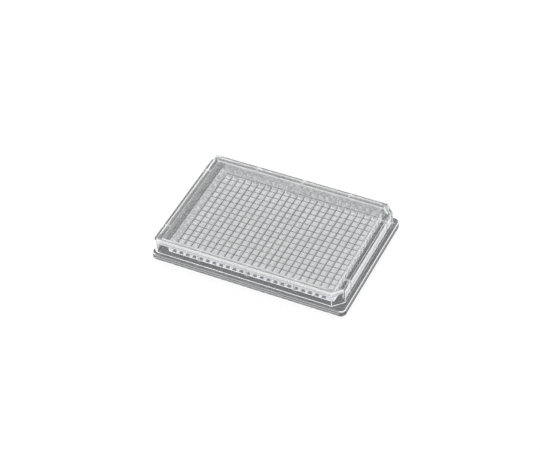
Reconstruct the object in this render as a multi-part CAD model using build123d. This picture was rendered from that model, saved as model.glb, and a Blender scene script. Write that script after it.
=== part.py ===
from build123d import *
import os
from math import radians, tan

# Shallow 384-well plate with its lid on, in millimetres.
# +X runs along the columns 1 to 24, +Y towards row A, +Z up.
# The origin is the middle of the footprint, on the surface that the plate stands on.

# ---- footprint and flange of the plate ----
plate_length = 127.76
plate_width = 85.48
plate_height = 14.35
flange_height = 4.2
flange_wall = 1.3
flange_corner_radius = 3.18
flange_edge_bevel = 0.3

# ---- upright wall that the lid slides over ----
wall_inset_x = 3.5          # from the flange's face to the wall's outer face, at the short sides
wall_inset_y = 2.45         # and at the long sides
wall_thickness = 1.2
wall_corner_radius = 1.0
corner_cut = 5.2            # 45 degree cut of the wall's two corners at column 24
shelf_thickness = 1.2

# ---- wells ----
well_columns = 24
well_rows = 16
well_pitch = 4.5
well_top_width = 3.65
well_bottom_width = 3.3
well_depth = 6.4
well_floor = 1.0
block_edge_wall = 0.85      # plastic outside the outermost wells, at the top
deck_depth = 2.2            # the deck lies this far below the rim of the wall
deck_thickness = 1.2

# ---- lid ----
lid_clearance = 0.35        # between the upright wall and the skirt, at the skirt's top
lid_thickness = 1.1
lid_skirt_wall = 1.1
lid_skirt_gap = 1.2         # from the flange's shelf up to the skirt's lower edge
lid_skirt_draft = 1.2       # degrees, wider at the bottom
lid_edge_bevel = 0.5
spacer_height = 0.3         # pads that hold the lid off the rim
spacer_width = 1.4
spacer_length = 3.0
spacer_side_depth = 0.25    # how far a pad's foot stands off the skirt
spacer_side_drop = 6.0      # how far it runs down the skirt
spacer_x = 31.5             # pads of the long sides lie at the middle and this far out
spacer_y = 27.0             # pads of the short sides lie this far out
ridge_inset = 1.8           # from the lid's edge to the stacking ridge
ridge_width = 0.9
ridge_height = 0.5
ridge_bevel = 0.2
ridge_end_gap = 5.2         # from a square corner to the end of a ridge
ridge_cut_end_gap = 8.5     # from a cut corner to the end of a ridge


def tray_outline(half_x, half_y, cut, radius):
    """Rectangle with two rounded corners at -X and two cut corners at +X."""
    outline = Rectangle(2 * half_x, 2 * half_y)
    left = outline.vertices().filter_by(lambda v: v.X < 0)
    outline = fillet(left, radius)
    right = outline.vertices().filter_by(lambda v: v.X > half_x - 0.001)
    return chamfer(right, cut)


def grown_cut(cut, growth):
    """Leg of a 45 degree cut after its outline has grown outwards by growth."""
    return cut + growth * (2 - 2 ** 0.5)


half_length = plate_length / 2
half_width = plate_width / 2
wall_half_x = half_length - wall_inset_x
wall_half_y = half_width - wall_inset_y
deck_z = plate_height - deck_depth
block_bottom_z = deck_z - well_depth - well_floor
well_field_x = (well_columns - 1) * well_pitch + well_top_width
well_field_y = (well_rows - 1) * well_pitch + well_top_width


def wall_outline(growth):
    """Outline of the upright wall's outer face, grown by growth."""
    radius = max(wall_corner_radius + growth, 0.2)
    return tray_outline(wall_half_x + growth, wall_half_y + growth, grown_cut(corner_cut, growth), radius)


def make_plate():
    flange_outer = RectangleRounded(plate_length, plate_width, flange_corner_radius)
    flange_inner = offset(flange_outer, -flange_wall)
    flange = extrude(flange_outer, flange_height)
    top_edges = flange.edges().group_by(Axis.Z)[-1]
    flange = chamfer(top_edges, flange_edge_bevel)
    flange -= extrude(flange_inner, flange_height - shelf_thickness)
    wall = Pos(0, 0, flange_height - shelf_thickness) * extrude(
        wall_outline(0), plate_height - flange_height + shelf_thickness
    )
    inside = wall_outline(-wall_thickness)
    under_deck = extrude(inside, deck_z - deck_thickness)
    over_deck = Pos(0, 0, deck_z) * extrude(inside, deck_depth)
    block = Pos(0, 0, block_bottom_z) * extrude(
        Rectangle(well_field_x + 2 * block_edge_wall, well_field_y + 2 * block_edge_wall),
        deck_z - block_bottom_z,
    )
    body = flange + wall - under_deck - over_deck + block
    mouth = Pos(0, 0, deck_z) * Rectangle(well_top_width, well_top_width)
    floor = Pos(0, 0, deck_z - well_depth) * Rectangle(well_bottom_width, well_bottom_width)
    well = loft([mouth.face(), floor.face()])
    places = GridLocations(well_pitch, well_pitch, well_columns, well_rows)
    return body - [place * well for place in places]


def make_spacer():
    """Pad that stands the lid off the rim, at the rim's outer edge, with +X outwards."""
    foot_near = lid_clearance - spacer_side_depth
    foot_far = lid_clearance + lid_skirt_wall / 2
    pad = Pos(lid_clearance - spacer_length, 0, 0) * Box(
        spacer_length, spacer_width, spacer_height, align=(Align.MIN, Align.CENTER, Align.MIN)
    )
    foot = Pos(foot_near, 0, spacer_height) * Box(
        foot_far - foot_near,
        spacer_width,
        spacer_height + spacer_side_drop,
        align=(Align.MIN, Align.CENTER, Align.MAX),
    )
    return pad + foot


def make_ridge(length):
    """Low ridge along X with round ends, which locates the plate stacked on top."""
    ridge = extrude(SlotOverall(length, ridge_width), ridge_height)
    return chamfer(ridge.edges().group_by(Axis.Z)[-1], ridge_bevel)


def make_lid():
    skirt_bottom_z = flange_height + lid_skirt_gap
    under_z = plate_height + spacer_height
    top_z = under_z + lid_thickness
    flare = tan(radians(lid_skirt_draft)) * (under_z - skirt_bottom_z)
    skirt_growth = lid_clearance + lid_skirt_wall
    inner_bottom = Pos(0, 0, skirt_bottom_z) * wall_outline(lid_clearance + flare)
    inner_top = Pos(0, 0, under_z) * wall_outline(lid_clearance)
    outer_bottom = Pos(0, 0, skirt_bottom_z) * wall_outline(skirt_growth + flare)
    outer_edge = Pos(0, 0, top_z - lid_edge_bevel) * wall_outline(skirt_growth)
    outer_top = Pos(0, 0, top_z) * wall_outline(skirt_growth - lid_edge_bevel)
    lid = loft([outer_bottom.face(), outer_edge.face(), outer_top.face()], ruled=True)
    lid -= loft([inner_bottom.face(), inner_top.face()])

    pads = [Pos(x, side * wall_half_y, plate_height) * Rot(0, 0, side * 90) * make_spacer()
            for side in (-1, 1) for x in (-spacer_x, 0, spacer_x)]
    pads += [Pos(wall_half_x, y, plate_height) * make_spacer() for y in (-spacer_y, spacer_y)]
    pads += [Pos(-wall_half_x, y, plate_height) * Rot(0, 0, 180) * make_spacer() for y in (-spacer_y, spacer_y)]

    lid_half_x = wall_half_x + skirt_growth
    lid_half_y = wall_half_y + skirt_growth
    ridge_x = lid_half_x - ridge_inset - ridge_width / 2
    ridge_y = lid_half_y - ridge_inset - ridge_width / 2
    long_ridge = make_ridge(2 * lid_half_x - ridge_end_gap - ridge_cut_end_gap)
    long_ridge_x = (ridge_end_gap - ridge_cut_end_gap) / 2
    ridges = [Pos(long_ridge_x, side * ridge_y, top_z) * long_ridge for side in (-1, 1)]
    square_end_ridge = make_ridge(2 * (lid_half_y - ridge_end_gap))
    cut_end_ridge = make_ridge(2 * (lid_half_y - ridge_cut_end_gap))
    ridges.append(Pos(-ridge_x, 0, top_z) * Rot(0, 0, 90) * square_end_ridge)
    ridges.append(Pos(ridge_x, 0, top_z) * Rot(0, 0, 90) * cut_end_ridge)
    return lid + pads + ridges


os.makedirs("parts", exist_ok=True)
export_step(make_plate(), "parts/plate.step")
export_step(make_lid(), "parts/lid.step")
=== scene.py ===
from math import atan2, cos, pi, radians, sin, sqrt, tan

import bmesh
import bpy
from mathutils import Matrix, Vector
from mathutils.geometry import tessellate_polygon


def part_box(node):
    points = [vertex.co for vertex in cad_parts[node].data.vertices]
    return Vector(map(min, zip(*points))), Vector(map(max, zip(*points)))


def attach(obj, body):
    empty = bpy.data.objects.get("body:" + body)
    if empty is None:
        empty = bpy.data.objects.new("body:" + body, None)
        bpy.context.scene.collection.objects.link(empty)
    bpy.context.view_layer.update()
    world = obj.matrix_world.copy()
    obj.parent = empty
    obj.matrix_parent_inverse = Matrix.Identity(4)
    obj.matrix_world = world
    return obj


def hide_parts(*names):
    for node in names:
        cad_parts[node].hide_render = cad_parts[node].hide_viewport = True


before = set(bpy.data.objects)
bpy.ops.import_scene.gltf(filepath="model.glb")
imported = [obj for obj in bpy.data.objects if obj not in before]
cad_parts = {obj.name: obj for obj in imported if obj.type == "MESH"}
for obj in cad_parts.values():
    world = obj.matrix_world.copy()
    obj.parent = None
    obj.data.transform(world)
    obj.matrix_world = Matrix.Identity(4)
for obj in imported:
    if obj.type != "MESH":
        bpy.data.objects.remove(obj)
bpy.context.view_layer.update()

# Shallow 384-well plate of clear polystyrene with its lid on, in metres.
# +X runs along the columns 1 to 24, +Y towards row A, +Z up.

plate_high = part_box("plate")[1]
lid_low, lid_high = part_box("lid")

mm = 0.001

# ---- plate: flange, upright wall and deck ----
flange_half_x, flange_half_y, rim_z = plate_high
flange_top_z = 4.2 * mm
flange_wall = 1.3 * mm
flange_corner_radius = 3.18 * mm
flange_edge_radius = 0.4 * mm
foot_edge_radius = 0.15 * mm
flange_bands = (1.4 * mm, 2.3 * mm, 3.1 * mm)   # heights where the flange's side changes between painted highlight and painted shade
shelf_thickness = 1.2 * mm
wall_thickness = 1.2 * mm
wall_corner_radius = 1.0 * mm
wall_edge_radius = 0.2 * mm
wall_bands = (              # heights where the wall changes between painted glow and painted shade
    6.85 * mm, 9.1 * mm, 10.2 * mm, 11.9 * mm, 12.5 * mm,
)
corner_cut = 5.2 * mm
cut_edge_radius = 0.6 * mm
deck_depth = 2.2 * mm
deck_thickness = 1.2 * mm
deck_z = rim_z - deck_depth

# ---- wells ----
well_columns = 24
well_rows = 16
well_pitch = 4.5 * mm
well_depth = 6.4 * mm
well_top_half = 1.825 * mm
well_bottom_half = 1.65 * mm
well_corner_radius = 0.35 * mm
well_corner_points = 4
well_lip = 0.1 * mm
well_foot_radius = 0.3 * mm
painted_mottle_depth = 3.6 * mm       # how far down the wells of the first column and the last row are mottled with painted light and shade
floor_z = deck_z - well_depth

# ---- dark lines of painted shade between the wells ----
line_inset = 0.02 * mm      # from a well's side to the line beside it
column_line_depths = (0.7 * mm, 2.1 * mm)
row_line_depths = (0.6 * mm, 1.2 * mm)
dash_length = 2.2 * mm      # short lines of painted shade behind the wells of the last row
dash_depths = ((0.3 * mm, 0.8 * mm), (2.1 * mm, 2.8 * mm))

# ---- block that the wells lie in ----
well_floor_thickness = 1.0 * mm
block_bottom_z = floor_z - well_floor_thickness
block_edge_wall = 0.85 * mm
block_corner_radius = 1.0 * mm
block_edge_radius = 0.4 * mm
block_edge_height = 0.75 * mm   # of the painted highlight along the block's foot
shortest_block_side = 10 * mm   # a shorter step of the block's outline is part of a corner
glow_sheet_inset = 0.15 * mm    # from the block's side to the sheet of painted glow inside it
floor_glow_height = 0.1 * mm    # from the block's underside to the sheet of painted glow inside it
shade_patch_margin = 0.1 * mm       # a patch of painted shade that comes nearer than this to the end of a side is left out
shade_patch_low = block_bottom_z + 0.8 * mm
shade_patch_high = block_bottom_z + 4.4 * mm
shade_patch_corners = (             # of the patch of painted shade beside a well: how far along from the well's middle, and the height
    (-0.1 * mm, shade_patch_low),
    (2.9 * mm, shade_patch_low),
    (3.1 * mm, shade_patch_high - 0.6 * mm),
    (2.9 * mm, shade_patch_high),
    (2.0 * mm, shade_patch_high),
)

# ---- lid ----
lid_thickness = 1.1 * mm
lid_clearance = 0.35 * mm
lid_edge_radius = 0.7 * mm
lid_inner_edge_radius = 0.35 * mm
ridge_height = 0.5 * mm
ridge_inset = 1.8 * mm
ridge_width = 0.9 * mm
ridge_edge_radius = 0.2 * mm
ridge_end_gap = 5.2 * mm
ridge_cut_end_gap = 8.5 * mm
lid_top_z = lid_high[2] - ridge_height
lid_under_z = lid_top_z - lid_thickness
skirt_wall = 1.1 * mm
skirt_draft = radians(1.2)
skirt_foot_radius = 0.25 * mm
skirt_foot_height = 0.45 * mm   # of the painted highlight along the skirt's foot
skirt_bottom_z = lid_low[2]
skirt_flare = tan(skirt_draft) * (lid_under_z - skirt_bottom_z)
spacer_width = 1.4 * mm
spacer_length = 3.0 * mm
spacer_drop = 6.0 * mm
spacer_side_depth = 0.25 * mm
spacer_corner_radius = 0.15 * mm
spacer_sink = 0.05 * mm     # how far a pad reaches into the lid
spacer_x = 31.5 * mm
spacer_y = 27.0 * mm

skirt_growth = lid_clearance + skirt_wall   # from the upright wall to the skirt's outside, at the top
wall_half_x = lid_high[0] - skirt_growth - skirt_flare
wall_half_y = lid_high[1] - skirt_growth - skirt_flare
field_half_x = well_columns * well_pitch / 2
field_half_y = well_rows * well_pitch / 2
block_half_x = (well_columns - 1) * well_pitch / 2 + well_top_half + block_edge_wall
block_half_y = (well_rows - 1) * well_pitch / 2 + well_top_half + block_edge_wall

# ---- how finely outlines are drawn ----
corner_points = 8           # points on each round corner, and on the two edges of a cut corner together
smallest_corner_radius = 0.2 * mm
longest_turn = 1.6 * mm     # a shorter step of an outline is part of the turn at a corner
slant = 0.1                 # a step leans if both its legs are over this share of it
sharp_angle = radians(40)   # edges that turn by more stay sharp


# ---------------------------------------------------------------- outlines

def rounded_corner(before, corner, after, radius, count):
    """Points of an arc of that radius that rounds one corner of an outline."""
    into = (corner - before).normalized()
    out_of = (after - corner).normalized()
    turn = atan2(into.x * out_of.y - into.y * out_of.x, into.dot(out_of))
    reach = radius * tan(turn / 2)
    start = corner - into * reach
    centre = start + Vector((-into.y, into.x)) * radius
    spoke = start - centre
    return [centre + Matrix.Rotation(turn * k / (count - 1), 2) @ spoke for k in range(count)]


def rounded_outline(corners):
    """Outline with its corners, given as (x, y, radius, points) in order, rounded."""
    places = [Vector(c[:2]) for c in corners]
    points = []
    for k, (_, _, radius, count) in enumerate(corners):
        after = places[(k + 1) % len(places)]
        points += rounded_corner(places[k - 1], places[k], after, radius, count)
    return points


def rectangle_outline(half_x, half_y, radius, count=corner_points):
    signs = ((-1, -1), (1, -1), (1, 1), (-1, 1))
    return rounded_outline([(sx * half_x, sy * half_y, radius, count) for sx, sy in signs])


def flange_outline(growth):
    half_x = flange_half_x + growth
    half_y = flange_half_y + growth
    return rectangle_outline(half_x, half_y, flange_corner_radius + growth)


def block_outline(growth):
    half_x = block_half_x + growth
    half_y = block_half_y + growth
    return rectangle_outline(half_x, half_y, block_corner_radius + growth)


def wall_outline(growth):
    """Outline of the upright wall, grown by growth: round corners at -X and cut corners at +X."""
    half_x = wall_half_x + growth
    half_y = wall_half_y + growth
    cut = corner_cut + growth * (2 - sqrt(2))
    radius = max(wall_corner_radius + growth, smallest_corner_radius)
    few = corner_points // 2
    return rounded_outline([
        (-half_x, -half_y, radius, corner_points),
        (half_x - cut, -half_y, cut_edge_radius, few),
        (half_x, -half_y + cut, cut_edge_radius, few),
        (half_x, half_y - cut, cut_edge_radius, few),
        (half_x - cut, half_y, cut_edge_radius, few),
        (-half_x, half_y, radius, corner_points),
    ])


def slot_outline(length, width, count=7):
    """Long bar with two half round ends, along X."""
    reach = (length - width) / 2
    points = []
    for side in (1, -1):
        for k in range(count):
            turn = -pi / 2 + pi * k / (count - 1)
            points.append(Vector((reach + width / 2 * cos(turn), width / 2 * sin(turn))) * side)
    return points


def turned(outline, quarters, x, y):
    """Outline turned by quarters of a turn about Z, then moved."""
    rotation = Matrix.Rotation(quarters * pi / 2, 2)
    return [rotation @ p + Vector((x, y)) for p in outline]


# ---------------------------------------------------------------- shells

class Shell:
    """Mesh of one moulding, made of rings of points joined one to the next."""

    def __init__(self):
        self.mesh = bmesh.new()

    def ring(self, outline, z):
        return [self.mesh.verts.new((p.x, p.y, z)) for p in outline]

    def edge(self, outline, growth, z, radius, first, last, steps=3):
        """Rings round an edge of that radius, whose arc has its centre at that growth and height.

        first and last are where the arc starts and ends, in quarters of a turn from straight outwards.
        """
        turns = [(first + (last - first) * k / steps) * pi / 2 for k in range(steps + 1)]
        return [self.ring(outline(growth + radius * cos(t)), z + radius * sin(t)) for t in turns]

    def face(self, corners, finish):
        self.mesh.faces.new(corners).material_index = finish

    def join(self, lower, upper, finish, short_side=None, corner=None, turn=None):
        """Band of faces between two rings; short sides, leaning corners and turns may differ in finish."""
        for k in range(len(lower)):
            run = lower[k].co - lower[k - 1].co
            chosen = finish
            if turn is not None and run.length < longest_turn:
                chosen = turn
            elif corner is not None and min(abs(run.x), abs(run.y)) > run.length * slant:
                chosen = corner
            elif short_side is not None and abs(run.x) < abs(run.y) * slant:
                chosen = short_side
            self.face((lower[k - 1], lower[k], upper[k], upper[k - 1]), chosen)

    def chain(self, rings, finish, short_side=None, corner=None):
        for lower, upper in zip(rings, rings[1:]):
            self.join(lower, upper, finish, short_side, corner)

    def cap_with_holes(self, outer, holes, finish):
        """Flat faces between an outer ring and the rings of the holes in it."""
        loops = [outer] + holes
        points = [v for loop in loops for v in loop]
        for corners in tessellate_polygon([[v.co for v in loop] for loop in loops]):
            self.face([points[c] for c in corners], finish)

    def repaint(self, finish, new_finish, where):
        """Gives the faces of one finish another one where a test of their middle holds."""
        for face in self.mesh.faces:
            if face.material_index == finish and where(face.calc_center_median()):
                face.material_index = new_finish

    def close(self, name, finishes, node, slot):
        """Turns the mesh into the piece that stands for a node; finishes are materials by their index."""
        bmesh.ops.recalc_face_normals(self.mesh, faces=self.mesh.faces)
        for face in self.mesh.faces:
            face.smooth = True
        data = bpy.data.meshes.new(name)
        self.mesh.to_mesh(data)
        self.mesh.free()
        data.set_sharp_from_angle(angle=sharp_angle)
        for index in sorted(finishes):
            data.materials.append(finishes[index])
        piece = bpy.data.objects.new(name, data)
        bpy.context.scene.collection.objects.link(piece)
        flats = piece.modifiers.new("flat_faces_shade_flat", "WEIGHTED_NORMAL")
        flats.mode = "FACE_AREA"
        flats.weight = 100
        flats.keep_sharp = True
        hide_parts(node)
        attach(piece, "root")


# ---------------------------------------------------------------- plate

PLASTIC, DECK, WELL_RIM, COLUMN_SHADE_LINE, ROW_SHADE_LINE, DASH_SHADE, WELL_WALL, WELL_FLOOR, PAINTED_MOTTLE = range(9)
BLOCK_SIDE_GLOW, BLOCK_SHADE_PATCH, BLOCK_UNDER, BLOCK_EDGE_HIGHLIGHT, GLOW_SHEET, FLOOR_GLOW = range(9, 15)
EDGE_HIGHLIGHT, FLANGE_HIGHLIGHT, FLANGE_SHADE, WALL_GLOW_BAND, SIDE_GLOW_BAND, WALL_SHADE = range(15, 21)
RIM, RIM_INSIDE_GLOW, RIM_SHADE, RIM_BACK_SHADE = range(21, 25)


def add_wells(shell):
    """The wells and the rims between them; returns the ring of points round the whole field."""
    corners = {}
    for column in range(well_columns + 1):
        for row in range(well_rows + 1):
            x = column * well_pitch - field_half_x
            y = row * well_pitch - field_half_y
            corners[column, row] = shell.mesh.verts.new((x, y, deck_z))
    for column in range(well_columns):
        for row in range(well_rows):
            x = (column + 0.5) * well_pitch - field_half_x
            y = (row + 0.5) * well_pitch - field_half_y
            cell_corners = [corners[column + a, row + b] for a, b in ((0, 0), (1, 0), (1, 1), (0, 1))]
            at_deck = (row == 0, column == well_columns - 1, row == well_rows - 1, column == 0)
            add_well(shell, Vector((x, y)), cell_corners, at_deck)
    edge = [corners[column, 0] for column in range(well_columns)]
    edge += [corners[well_columns, row] for row in range(well_rows)]
    edge += [corners[column, well_rows] for column in range(well_columns, 0, -1)]
    edge += [corners[0, row] for row in range(well_rows, 0, -1)]
    return edge


def add_well(shell, centre, cell_corners, at_deck):
    """One square well with round upright corners, a soft lip and a flat floor.

    cell_corners are the four corners of its cell of the grid, from -X -Y anticlockwise. at_deck says of
    its sides at -Y, +X, +Y and -X whether the deck lies beside them.
    """
    count = well_corner_points

    def level(half, radius, z):
        outline = rectangle_outline(half, half, radius, count)
        return shell.ring([p + centre for p in outline], z)

    lip = level(well_top_half + well_lip, well_corner_radius + well_lip, deck_z)
    mouth = level(well_top_half, well_corner_radius, deck_z - well_lip)
    foot = level(well_bottom_half, well_corner_radius, floor_z + well_foot_radius)
    floor = level(well_bottom_half - well_foot_radius, well_corner_radius / 2, floor_z)
    last_row, first_column = at_deck[2:]
    row_shade_line = WELL_RIM if first_column else ROW_SHADE_LINE
    column_shade_line = WELL_RIM if last_row else COLUMN_SHADE_LINE
    lip_finishes = (row_shade_line, WELL_RIM, WELL_RIM, column_shade_line)
    for k, corner in enumerate(cell_corners):
        arc = lip[k * count:(k + 1) * count]
        corner_finish = DECK if at_deck[k - 1] or at_deck[k] else WELL_RIM
        for a, b in zip(arc, arc[1:]):
            shell.face((corner, a, b), corner_finish)
        following = lip[(k + 1) * count % len(lip)]
        side_finish = DECK if at_deck[k] else WELL_RIM
        shell.face((corner, arc[-1], following, cell_corners[(k + 1) % 4]), side_finish)
        for here in range(k * count, (k + 1) * count):
            beyond = (here + 1) % len(lip)
            shell.face((lip[here], lip[beyond], mouth[beyond], mouth[here]), lip_finishes[k])
    # The upper wells of the first column and the last row get painted light and shade.
    if last_row or first_column:
        taper = (well_bottom_half - well_top_half) * painted_mottle_depth / well_depth
        painted_mottle_foot = level(well_top_half + taper, well_corner_radius, deck_z - painted_mottle_depth)
        shell.join(mouth, painted_mottle_foot, PAINTED_MOTTLE)
        shell.join(painted_mottle_foot, foot, WELL_WALL)
    else:
        shell.join(mouth, foot, WELL_WALL)
    shell.join(foot, floor, WELL_FLOOR)
    shell.face(floor, WELL_FLOOR)


def add_lines(shell):
    """Upright dark sheets of painted shade beside the wells, which show as the lines of the grid.

    The lines between the columns end before the last row, and those between the rows start after the
    first column. Behind the last row lie dashes of painted shade, one over the other at each well.
    """
    def ribbon(start, end, depths, finish):
        top = deck_z - depths[0]
        bottom = deck_z - depths[1]
        corners = ((*start, top), (*end, top), (*end, bottom), (*start, bottom))
        shell.face([shell.mesh.verts.new(c) for c in corners], finish)

    aside = well_pitch / 2 - well_top_half - line_inset
    reach_x = field_half_x - aside
    reach_y = field_half_y - aside
    for column in range(1, well_columns):
        x = column * well_pitch - field_half_x + aside
        ribbon((x, -reach_y), (x, reach_y - well_pitch), column_line_depths, COLUMN_SHADE_LINE)
    for row in range(well_rows):
        y = row * well_pitch - field_half_y + aside
        ribbon((well_pitch - reach_x, y), (reach_x, y), row_line_depths, ROW_SHADE_LINE)
    for column in range(well_columns):
        start_x = (column + 0.5) * well_pitch - field_half_x - dash_length / 2
        for depths in dash_depths:
            ribbon((start_x, reach_y), (start_x + dash_length, reach_y), depths, DASH_SHADE)


def add_top(shell):
    """Outside of the plate, from its foot over the flange, wall, rim and deck to the wells."""
    foot = [
        shell.ring(flange_outline(-foot_edge_radius), 0),
        shell.ring(flange_outline(0), foot_edge_radius),
    ]
    flange_sides = [shell.ring(flange_outline(0), z) for z in flange_bands]
    flange_edge = shell.edge(
        flange_outline, -flange_edge_radius, flange_top_z - flange_edge_radius, flange_edge_radius, 0, 1, 4
    )
    # Bands of painted highlight and painted shade up the flange's side, differing between long and short
    # sides; its top edge has a painted highlight on the short sides and corners.
    shell.chain(foot + [flange_sides[0]], PLASTIC, FLANGE_SHADE)
    shell.join(flange_sides[0], flange_sides[1], FLANGE_HIGHLIGHT, FLANGE_SHADE, PLASTIC)
    shell.join(flange_sides[1], flange_sides[2], FLANGE_SHADE, FLANGE_HIGHLIGHT, PLASTIC)
    shell.join(flange_sides[2], flange_edge[0], FLANGE_HIGHLIGHT, PLASTIC)
    shell.chain(flange_edge, FLANGE_SHADE, EDGE_HIGHLIGHT, EDGE_HIGHLIGHT)

    radius = wall_edge_radius
    wall_foot = shell.edge(wall_outline, radius, flange_top_z + radius, radius, 3, 2)
    wall_sides = [shell.ring(wall_outline(0), z) for z in wall_bands]
    rim_outer = shell.edge(wall_outline, -radius, rim_z - radius, radius, 0, 1)
    rim_inner = shell.edge(wall_outline, radius - wall_thickness, rim_z - radius, radius, 1, 2)
    rim_middle = shell.ring(wall_outline(-wall_thickness), (rim_z + deck_z) / 2)
    deck_edge = shell.edge(wall_outline, -wall_thickness - radius, deck_z + radius, radius, 4, 3)
    shell.chain([flange_edge[-1]] + wall_foot, PLASTIC)
    # Bands of painted glow and painted shade up the wall's side, most of them on the short sides, and up to
    # the rim, whose short sides get painted shade.
    shell.join(wall_foot[-1], wall_sides[0], PLASTIC, WALL_SHADE, PLASTIC)
    shell.join(wall_sides[0], wall_sides[1], PLASTIC, SIDE_GLOW_BAND, PLASTIC)
    shell.join(wall_sides[1], wall_sides[2], PLASTIC, WALL_GLOW_BAND, PLASTIC)
    shell.join(wall_sides[2], wall_sides[3], PLASTIC, SIDE_GLOW_BAND, PLASTIC)
    shell.join(wall_sides[3], wall_sides[4], SIDE_GLOW_BAND, SIDE_GLOW_BAND, PLASTIC)
    shell.join(wall_sides[4], rim_outer[0], WALL_GLOW_BAND, SIDE_GLOW_BAND, WALL_GLOW_BAND)
    shell.chain(rim_outer, SIDE_GLOW_BAND, RIM_SHADE, SIDE_GLOW_BAND)
    shell.join(rim_outer[-1], rim_inner[0], RIM, RIM_SHADE, RIM)
    shell.chain(rim_inner + [rim_middle], RIM, RIM_SHADE, RIM_INSIDE_GLOW)
    shell.chain([rim_middle] + deck_edge, RIM_INSIDE_GLOW, RIM_SHADE, RIM_INSIDE_GLOW)
    # The rim at the back gets a darker copy of its finish: painted shade.
    shell.repaint(RIM, RIM_BACK_SHADE, lambda middle: middle.y > block_half_y)
    shell.cap_with_holes(deck_edge[-1], [add_wells(shell)], DECK)
    return foot[0]


def add_underside(shell, foot):
    """Inside of the flange and the wall, up to the underside of the deck."""
    shelf_under_z = flange_top_z - shelf_thickness
    flange_inside = [shell.ring(flange_outline(-flange_wall), z) for z in (0, shelf_under_z)]
    deck_under_z = deck_z - deck_thickness
    wall_inside = [shell.ring(wall_outline(-wall_thickness), z) for z in (shelf_under_z, deck_under_z)]
    shell.chain([foot] + flange_inside + wall_inside, PLASTIC)
    return wall_inside[-1]


def add_block_sides(shell, lower, upper):
    """Outside of the block of wells: clear plastic with a painted glow, and a darker patch of painted shade
    beside each well.
    """
    for k in range(len(lower)):
        corners = [lower[k - 1], lower[k], upper[k], upper[k - 1]]
        run = lower[k].co - lower[k - 1].co
        if run.length < shortest_block_side:
            shell.face(corners, BLOCK_SIDE_GLOW)
            continue
        along = run.normalized()
        middle = (lower[k].co + lower[k - 1].co) / 2
        wells = round(run.length / well_pitch)
        shade_patches = []
        for well in range(wells):
            centre = middle + along * (well - (wells - 1) / 2) * well_pitch
            shade_patch = [centre + along * out + Vector((0, 0, z - centre.z)) for out, z in shade_patch_corners]
            reach = max(abs((corner - middle).dot(along)) for corner in shade_patch)
            if reach < run.length / 2 - shade_patch_margin:
                shade_patches.append([shell.mesh.verts.new(corner) for corner in shade_patch])
        shell.cap_with_holes(corners, shade_patches, BLOCK_SIDE_GLOW)
        for shade_patch in shade_patches:
            shell.face(shade_patch, BLOCK_SHADE_PATCH)


def add_block(shell, deck_under):
    """Outside of the block below the deck, with a painted highlight along its foot, and the sheets of
    painted glow just inside it.
    """
    radius = block_edge_radius
    top = shell.ring(block_outline(0), deck_z - deck_thickness)
    edge = shell.edge(block_outline, -radius, block_bottom_z + radius, radius, 4, 3)
    side_foot = shell.ring(block_outline(0), block_bottom_z + block_edge_height)
    shell.join(deck_under, top, DECK)
    add_block_sides(shell, side_foot, top)
    shell.join(edge[0], side_foot, BLOCK_EDGE_HIGHLIGHT)
    shell.chain(edge, BLOCK_EDGE_HIGHLIGHT)
    shell.face(edge[-1], BLOCK_UNDER)

    floor_glow = shell.ring(block_outline(-glow_sheet_inset - radius), block_bottom_z + floor_glow_height)
    shell.face(floor_glow, FLOOR_GLOW)
    glow_sheet = (
        (-glow_sheet_inset - radius, block_bottom_z + glow_sheet_inset),
        (-glow_sheet_inset, block_bottom_z + glow_sheet_inset + radius),
        (-glow_sheet_inset, deck_z - well_lip),
    )
    shell.chain([shell.ring(block_outline(growth), z) for growth, z in glow_sheet], GLOW_SHEET)


def make_plate(finishes):
    shell = Shell()
    foot = add_top(shell)
    add_lines(shell)
    deck_under = add_underside(shell, foot)
    add_block(shell, deck_under)
    shell.close("plate_moulding", finishes, "plate", "plate_polystyrene")


# ---------------------------------------------------------------- lid

LID, LID_FOOT_HIGHLIGHT, LID_CORNER_HIGHLIGHT, RIDGE_HIGHLIGHT, SPACER_GLOW = range(5)


def add_ridge(shell, length, quarters, x, y, finish):
    """Low bar with round ends and a soft upper edge; returns the ring where it meets the lid."""
    def outline(growth):
        return turned(slot_outline(length + 2 * growth, ridge_width + 2 * growth), quarters, x, y)

    base = shell.ring(outline(0), lid_top_z)
    radius = ridge_edge_radius
    upper = shell.edge(outline, -radius, lid_top_z + ridge_height - radius, radius, 0, 1)
    shell.chain([base] + upper, finish)
    shell.face(upper[-1], finish)
    return base


def add_ridges(shell):
    """One ridge along each side of the lid, shorter at the cut corners; returns the rings of their feet."""
    half_x = wall_half_x + skirt_growth
    half_y = wall_half_y + skirt_growth
    ridge_x = half_x - ridge_inset - ridge_width / 2
    ridge_y = half_y - ridge_inset - ridge_width / 2
    long_ridge = 2 * half_x - ridge_end_gap - ridge_cut_end_gap
    long_ridge_x = (ridge_end_gap - ridge_cut_end_gap) / 2
    return [
        add_ridge(shell, long_ridge, 0, long_ridge_x, -ridge_y, RIDGE_HIGHLIGHT),
        add_ridge(shell, long_ridge, 0, long_ridge_x, ridge_y, RIDGE_HIGHLIGHT),
        add_ridge(shell, 2 * (half_y - ridge_end_gap), 1, -ridge_x, 0, RIDGE_HIGHLIGHT),
        add_ridge(shell, 2 * (half_y - ridge_cut_end_gap), 1, ridge_x, 0, LID),
    ]


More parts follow.
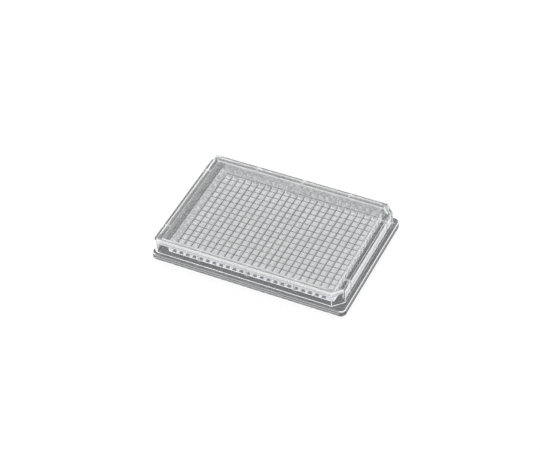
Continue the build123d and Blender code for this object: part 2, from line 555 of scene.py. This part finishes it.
def add_spacer(shell, x, y, quarters):
    """Pad that stands the lid off the rim and its rib down the inside of the skirt; +X is outwards."""
    top = lid_under_z + spacer_sink
    pad = (lid_clearance - spacer_length, lid_clearance + spacer_sink, rim_z)
    rib = (lid_clearance - spacer_side_depth, lid_clearance + skirt_wall / 2, rim_z - spacer_drop)
    half_width = spacer_width / 2
    for near, far, bottom in (pad, rib):
        corners = ((near, -half_width), (far, -half_width), (far, half_width), (near, half_width))
        outline = rounded_outline([(*corner, spacer_corner_radius, 3) for corner in corners])
        outline = turned(outline, quarters, x, y)
        rings = [shell.ring(outline, z) for z in (bottom, top)]
        shell.face(rings[0], SPACER_GLOW)
        shell.chain(rings, SPACER_GLOW)
        shell.face(rings[1], SPACER_GLOW)


def add_spacers(shell):
    """Three pads along each long side of the lid and two along each short side."""
    for side in (-1, 1):
        for x in (-spacer_x, 0, spacer_x):
            add_spacer(shell, x, side * wall_half_y, side)
        add_spacer(shell, wall_half_x, side * spacer_y, 0)
        add_spacer(shell, -wall_half_x, side * spacer_y, 2)


def make_lid(finishes):
    shell = Shell()
    outer_bottom = skirt_growth + skirt_flare
    foot_flare = skirt_flare * skirt_foot_height / (lid_under_z - skirt_bottom_z)
    radius = skirt_foot_radius
    skirt_foot = shell.edge(wall_outline, outer_bottom - radius, skirt_bottom_z + radius, radius, 3, 4)
    foot_top = shell.ring(wall_outline(outer_bottom - foot_flare), skirt_bottom_z + skirt_foot_height)
    radius = lid_edge_radius
    top_edge = shell.edge(wall_outline, skirt_growth - radius, lid_top_z - radius, radius, 0, 1, 5)
    radius = lid_inner_edge_radius
    inner_edge = shell.edge(wall_outline, lid_clearance - radius, lid_under_z - radius, radius, 0, 1)
    inner_foot = shell.ring(wall_outline(lid_clearance + skirt_flare), skirt_bottom_z)
    shell.join(inner_foot, skirt_foot[0], LID)
    shell.chain(skirt_foot + [foot_top], LID_FOOT_HIGHLIGHT, LID)
    shell.join(foot_top, top_edge[0], LID, turn=LID_CORNER_HIGHLIGHT)
    shell.join(top_edge[0], top_edge[1], LID, corner=LID_CORNER_HIGHLIGHT)
    shell.chain(top_edge[1:], LID)
    shell.chain([inner_foot] + inner_edge, LID)
    shell.face(inner_edge[-1], LID)
    shell.cap_with_holes(top_edge[-1], add_ridges(shell), LID)
    add_spacers(shell)
    shell.close("lid_moulding", finishes, "lid", "lid_polystyrene")


# ---------------------------------------------------------------- finishes

class Value:
    """A number that changes over a surface; arithmetic on it adds the Math nodes."""

    def __init__(self, finish, socket):
        self.finish = finish
        self.socket = socket

    def math(self, operation, first, second=0.0):
        return self.finish.node("ShaderNodeMath", {"operation": operation}, {0: first, 1: second})[0]

    def __add__(self, other):
        return self.math("ADD", self, other)

    def __sub__(self, other):
        return self.math("SUBTRACT", self, other)

    def __rsub__(self, other):
        return self.math("SUBTRACT", other, self)

    def __mul__(self, other):
        return self.math("MULTIPLY", self, other)

    def __pow__(self, other):
        return self.math("POWER", self, other)

    __radd__ = __add__
    __rmul__ = __mul__

    def size(self):
        return self.math("ABSOLUTE", self)

    def cosine(self):
        return self.math("COSINE", self)


class Node:
    """A node whose outputs are read by name or number."""

    def __init__(self, finish, node):
        self.finish = finish
        self.node = node

    def __getitem__(self, output):
        return Value(self.finish, self.node.outputs[output])


class Finish:
    """A procedural material."""

    def __init__(self, name):
        self.material = bpy.data.materials.new(name)
        self.material.use_nodes = True
        self.tree = self.material.node_tree
        self.tree.nodes.clear()
        self.position = self.node("ShaderNodeTexCoord")["Object"]

    def node(self, kind, settings=None, sockets=None):
        node = self.tree.nodes.new(kind)
        for name, value in (settings or {}).items():
            setattr(node, name, value)
        for name, value in (sockets or {}).items():
            if isinstance(value, Value):
                self.tree.links.new(value.socket, node.inputs[name])
            else:
                node.inputs[name].default_value = value
        return Node(self, node)

    def noise(self, size, detail=2.0, roughness=0.5, stretch=(1, 1, 1)):
        """Noise with blotches of about that size, in metres."""
        vectors = {0: self.position, 1: stretch}
        place = self.node("ShaderNodeVectorMath", {"operation": "MULTIPLY"}, vectors)[0]
        sockets = {"Vector": place, "Scale": 1 / size, "Detail": detail, "Roughness": roughness}
        return self.node("ShaderNodeTexNoise", None, sockets)["Fac"]

    def remap(self, value, low, high, to_low, to_high):
        sockets = {"Value": value, "From Min": low, "From Max": high, "To Min": to_low, "To Max": to_high}
        return self.node("ShaderNodeMapRange", {"clamp": True}, sockets)["Result"]

    def tone(self, value, dark, light):
        """Colour between dark and light."""
        colours = {0: value, 6: (*dark, 1), 7: (*light, 1)}
        return self.node("ShaderNodeMix", {"data_type": "RGBA"}, colours)[2]

    def bump(self, height, depth):
        sockets = {"Height": height, "Distance": depth, "Strength": 1.0}
        return self.node("ShaderNodeBump", None, sockets)["Normal"]

    def surface(self, shader):
        self.node("ShaderNodeOutputMaterial", None, {"Surface": shader})
        return self.material

    def plastic(self, sockets):
        shader = self.node("ShaderNodeBsdfPrincipled", None, {"IOR": polystyrene_ior, **sockets})
        return self.surface(shader["BSDF"])


polystyrene_ior = 1.59
black = (0, 0, 0)
white = (1, 1, 1)
pale = (0.94, 0.94, 0.94)
cool_light = (0.97, 0.98, 1.0)


def clear_plastic(name, dark, light, gloss):
    """Clear polystyrene with faint flow marks and handling haze."""
    finish = Finish(f"{name}_polystyrene")
    flow = finish.noise(9 * mm, 3.0, 0.55, (0.35, 1, 1))
    haze = finish.noise(0.9 * mm, 2.0, 0.6)
    return finish.plastic({
        "Base Color": finish.tone(finish.remap(flow, 0.35, 0.65, 0, 1), dark, light),
        "Roughness": finish.remap(haze, 0.3, 0.75, gloss * 0.6, gloss * 1.6),
        "Transmission Weight": 1.0,
        "Normal": finish.bump(haze, 0.001 * mm),
    })


def deck_plastic():
    """Plastic of the deck, mottled by the mould.

    Painted light and shade: it is pale along the long sides, with a faint painted shade mark for each well
    there. It is greyer and clearer along the short sides, and darkest, with painted shade, beside the first
    column and next to the wall past the last one.
    """
    finish = Finish("deck_polystyrene")
    mottle = finish.remap(finish.noise(1.3 * mm, 3.0, 0.6), 0.38, 0.62, 0, 1)
    place = finish.node("ShaderNodeSeparateXYZ", None, {0: finish.position})
    x = place["X"]
    y = place["Y"]

    short_side_x = field_half_x - 0.6 * mm
    short_side = finish.remap(x.size(), short_side_x, short_side_x + 0.2 * mm, 0, 1)
    first_column = finish.remap(x, -field_half_x - 1.0 * mm, -field_half_x - 0.3 * mm, 0, 1) * short_side
    left_half = finish.remap(x, 0, 1 * mm, 1, 0)
    along_wells = finish.remap(y.size(), block_half_y - 0.5 * mm, block_half_y, 1, 0)
    painted_shade_beside_wells = first_column * left_half * along_wells

    painted_shade_by_wall_x = 57.1 * mm
    painted_shade_by_wall = finish.remap(x, painted_shade_by_wall_x, painted_shade_by_wall_x + 0.3 * mm, 0, 1)

    marks_y = 36.9 * mm
    mark_reach = 0.6 * mm
    wave = (x * (2 * pi / well_pitch)).cosine()
    off_the_row = (y.size() - marks_y).size()
    painted_shade_marks = finish.remap(wave, -0.3, 0.3, 0, 1) * finish.remap(off_the_row, 0, mark_reach, 1, 0)

    # Painted light along the long sides; painted shade along the short sides, beside the first column and by
    # the wall.
    long_side_tone = (mottle * 0.35 + 0.62) * (1 - painted_shade_marks * 0.5)
    short_side_tone = (mottle * 0.55 + 0.2) * (1 - painted_shade_beside_wells * 0.7) * (1 - painted_shade_by_wall * 0.8)
    tone = long_side_tone * (1 - short_side) + short_side_tone * short_side
    return finish.plastic({
        "Base Color": finish.tone(tone, black, white),
        "Roughness": 0.25,
        "Alpha": 0.85 - short_side * 0.4 * (1 - painted_shade_beside_wells) * (1 - painted_shade_by_wall),
    })


def underside_plastic():
    """Underside of the block, with darker lines of painted shade under the walls between the wells."""
    finish = Finish("block_underside_polystyrene")
    place = finish.node("ShaderNodeSeparateXYZ", None, {0: finish.position})
    grain = finish.remap(finish.noise(1.2 * mm, 2.0), 0.3, 0.7, 0.6, 0.9)
    waves = [(place[axis] * (2 * pi / well_pitch)).cosine() for axis in ("X", "Y")]
    shade_between_columns, shade_between_rows = [finish.remap(wave, 0.4, 0.85, 1, 0.45) for wave in waves]
    tone = grain * shade_between_columns * shade_between_rows
    return finish.plastic({
        "Base Color": finish.tone(tone, (0.1, 0.1, 0.11), (0.85, 0.86, 0.87)),
        "Roughness": 0.2,
        "Alpha": 0.9,
    })


def thin_plastic(name, dark, light, hides, roughness, grain_size=0.8 * mm, painted_glow=0.0):
    """Thin clear wall with a grain between a dark and a light tone.

    hides is how much it hides of what lies behind it, seen face on and edge on: 1 hides it all, and over 1
    hides it all before it is quite edge on. The last argument is a painted glow, no lamp, strongest where
    the surface is seen edge on.
    """
    finish = Finish(f"{name}_polystyrene")
    facing = finish.node("ShaderNodeLayerWeight", None, {"Blend": 0.5})["Facing"]
    grain = finish.noise(grain_size, 2.0)
    face_on, edge_on = hides
    return finish.plastic({
        "Base Color": finish.tone(finish.remap(grain, 0.35, 0.65, 0, 1), dark, light),
        "Roughness": roughness,
        "Alpha": (facing ** 3) * (edge_on - face_on) + face_on,
        # Emission: a painted glow, no lamp, brightest where the surface is seen edge on.
        "Emission Color": finish.tone(finish.remap(facing, 0, 0.66, 0.3, 1), black, cool_light),
        "Emission Strength": painted_glow,
    })


def plate_finishes():
    coarse = 1.2 * mm
    return {
        PLASTIC: clear_plastic("plate", (0.67, 0.68, 0.7), (0.75, 0.76, 0.77), gloss=0.03),
        DECK: deck_plastic(),
        WELL_RIM: thin_plastic("well_rim", (0.85, 0.85, 0.85), pale, (0.2, 0.3), 0.3),
        # Dark sheets of painted shade that show as the grid's lines.
        COLUMN_SHADE_LINE: thin_plastic("column_shade_line", (0.01, 0.01, 0.015), (0.03, 0.03, 0.035), (0.6, 1.9), 0.4),
        ROW_SHADE_LINE: thin_plastic("row_shade_line", (0.02, 0.02, 0.025), (0.06, 0.06, 0.065), (0.93, 0.95), 0.4),
        # Dashes of painted shade behind the last row.
        DASH_SHADE: thin_plastic("dash_shade", (0.03, 0.03, 0.03), (0.2, 0.2, 0.2), (0.7, 0.7), 0.3),
        WELL_WALL: thin_plastic("well_wall", (0.85, 0.85, 0.86), pale, (0.01, 0.05), 0.3),
        WELL_FLOOR: thin_plastic("well_floor", (0.85, 0.85, 0.86), pale, (0.1, 0.1), 0.3),
        # Painted light and shade mottling the upper wells of the first column and the last row, with a
        # painted glow.
        PAINTED_MOTTLE: thin_plastic(
            "well_painted_mottle", (0.25, 0.25, 0.26), (0.98, 0.98, 0.98), (0.5, 0.5), 0.3, 1.9 * mm, painted_glow=0.14
        ),
        # Painted glow on the block's sides, and darker patches of painted shade beside the wells.
        BLOCK_SIDE_GLOW: thin_plastic(
            "block_side_glow", (0.8, 0.8, 0.81), pale, (0.9, 0.95), 0.2, 0.6 * mm, painted_glow=1.6
        ),
        BLOCK_SHADE_PATCH: thin_plastic(
            "block_shade_patch", (0.6, 0.6, 0.61), (0.85, 0.85, 0.86), (0.95, 0.95), 0.2, painted_glow=0.22
        ),
        BLOCK_UNDER: underside_plastic(),
        # Painted highlight along the block's foot.
        BLOCK_EDGE_HIGHLIGHT: thin_plastic("block_edge_highlight", pale, pale, (0.95, 0.95), 0.15, painted_glow=2.3),
        # Sheets of painted glow just inside the block.
        GLOW_SHEET: thin_plastic(
            "block_glow_sheet", (0.45, 0.46, 0.47), (0.97, 0.97, 0.97), (0.9, 0.95), 0.3, 1.4 * mm, painted_glow=0.2
        ),
        FLOOR_GLOW: thin_plastic(
            "floor_glow", (0.8, 0.8, 0.8), (0.97, 0.97, 0.97), (0.92, 0.92), 0.3, painted_glow=0.43
        ),
        # Painted highlight on the flange's top edge, and bands of painted highlight and painted shade on its
        # side.
        EDGE_HIGHLIGHT: thin_plastic("edge", pale, pale, (0.8, 0.9), 0.15, painted_glow=0.6),
        FLANGE_HIGHLIGHT: thin_plastic("flange_highlight", (0.8, 0.8, 0.81), (0.94, 0.94, 0.95), (0.95, 0.95), 0.15),
        FLANGE_SHADE: thin_plastic("flange_shade", (0.28, 0.28, 0.29), (0.38, 0.38, 0.39), (0.95, 0.95), 0.15),
        # Bands of painted glow up the wall.
        WALL_GLOW_BAND: thin_plastic(
            "wall_glow_band", (0.7, 0.7, 0.7), pale, (0.65, 0.8), 0.15, 0.7 * mm, painted_glow=0.62
        ),
        SIDE_GLOW_BAND: thin_plastic(
            "side_glow_band", (0.85, 0.85, 0.85), pale, (0.8, 0.9), 0.15, 0.7 * mm, painted_glow=0.9
        ),
        WALL_SHADE: thin_plastic(
            "wall_shade", (0.05, 0.05, 0.055), (0.16, 0.16, 0.165), (0.85, 0.9), 0.2, coarse
        ),
        # Copies of the rim's finish: painted glow on its inside and painted shade at the back.
        RIM: thin_plastic("rim", (0.55, 0.55, 0.56), (0.8, 0.8, 0.8), (0.7, 0.8), 0.2, coarse),
        RIM_INSIDE_GLOW: thin_plastic(
            "rim_inside_glow", (0.75, 0.75, 0.76), (0.97, 0.97, 0.97), (0.85, 0.9), 0.2, coarse, painted_glow=0.6
        ),
        RIM_SHADE: thin_plastic(
            "rim_shade", (0.08, 0.08, 0.085), (0.18, 0.18, 0.185), (0.85, 0.9), 0.2, coarse
        ),
        RIM_BACK_SHADE: thin_plastic("rim_back_shade", (0.3, 0.3, 0.31), (0.5, 0.5, 0.5), (0.8, 0.8), 0.2, coarse),
    }


def lid_finishes():
    return {
        LID: clear_plastic("lid", (0.96, 0.97, 0.97), (0.99, 0.99, 0.99), gloss=0.015),
        # Painted highlights and glow on the skirt's foot, the cut corners, the ridges and the spacer pads.
        LID_FOOT_HIGHLIGHT: thin_plastic("lid_foot_highlight", pale, pale, (0.8, 0.9), 0.15, painted_glow=1.4),
        LID_CORNER_HIGHLIGHT: thin_plastic("lid_corner_highlight", pale, pale, (0.6, 0.8), 0.15, painted_glow=0.8),
        RIDGE_HIGHLIGHT: thin_plastic("ridge", pale, pale, (0.6, 0.8), 0.15, painted_glow=0.1),
        SPACER_GLOW: thin_plastic("spacer_glow", (0.8, 0.8, 0.8), pale, (0.5, 0.8), 0.15, painted_glow=0.35),
    }


# ---------------------------------------------------------------- studio

def make_bench():
    """Bench that is white where it is seen directly and keeps the object's soft shadow."""
    seen_directly = 0.82
    seen_in_plastic = 0.08
    half_length = 3.0
    drop = 0.05 * mm
    finish = Finish("bench_white")
    path = finish.node("ShaderNodeLightPath")
    in_plastic = path["Is Transmission Ray"] * seen_in_plastic + path["Is Glossy Ray"] * seen_in_plastic
    glow = path["Is Camera Ray"] * seen_directly + in_plastic
    paint = finish.node("ShaderNodeBsdfDiffuse", None, {"Color": (0.2, 0.2, 0.2, 1)})["BSDF"]
    light = finish.node("ShaderNodeEmission", None, {"Color": (1, 1, 1, 1), "Strength": glow})["Emission"]
    both = finish.node("ShaderNodeAddShader", None, {0: paint, 1: light})[0]
    bench = bmesh.new()
    bmesh.ops.create_grid(bench, x_segments=8, y_segments=8, size=half_length)
    data = bpy.data.meshes.new("bench")
    bench.to_mesh(data)
    bench.free()
    data.materials.append(finish.surface(both))
    piece = bpy.data.objects.new("bench", data)
    piece.location.z = -drop
    bpy.context.scene.collection.objects.link(piece)


def make_lamp(name, place, width, height, power):
    """Softbox that faces the middle of the plate."""
    light = bpy.data.lights.new(name, "AREA")
    light.shape = "RECTANGLE"
    light.size = width
    light.size_y = height
    light.energy = power
    lamp = bpy.data.objects.new(name, light)
    lamp.location = place
    lamp.rotation_euler = (-Vector(place)).to_track_quat("-Z", "Y").to_euler()
    bpy.context.scene.collection.objects.link(lamp)


def make_world(strength):
    """Plain white light from all round."""
    world = bpy.data.worlds.new("studio")
    world.use_nodes = True
    background = world.node_tree.nodes["Background"]
    background.inputs["Color"].default_value = (1, 1, 1, 1)
    background.inputs["Strength"].default_value = strength
    bpy.context.scene.world = world


def make_camera():
    """Camera above the front right corner of the plate."""
    azimuth = radians(28.16)
    elevation = radians(43.78)
    roll = radians(-3.69)
    distance = 1.127
    lens = 121.9
    aim = Vector((-9.8 * mm, 11.2 * mm, 0))
    back = Vector((sin(azimuth) * cos(elevation), -cos(azimuth) * cos(elevation), sin(elevation)))
    data = bpy.data.cameras.new("camera")
    data.lens = lens
    data.sensor_width = 36
    data.clip_start = 0.01
    camera = bpy.data.objects.new("camera", data)
    place = Matrix.Translation(aim + back * distance)
    turn = back.to_track_quat("Z", "Y").to_matrix().to_4x4()
    camera.matrix_world = place @ turn @ Matrix.Rotation(roll, 4, "Z")
    bpy.context.scene.collection.objects.link(camera)
    bpy.context.scene.camera = camera


make_camera()
make_plate(plate_finishes())
make_lid(lid_finishes())
make_bench()
make_lamp("softbox_above", place=(-0.1, 0.3, 1.2), width=0.6, height=0.6, power=1.5)
make_world(strength=1.0)

scene = bpy.context.scene
scene.view_settings.view_transform = "Standard"
scene.cycles.max_bounces = 24
scene.cycles.transmission_bounces = 24
scene.cycles.glossy_bounces = 16
scene.cycles.transparent_max_bounces = 40
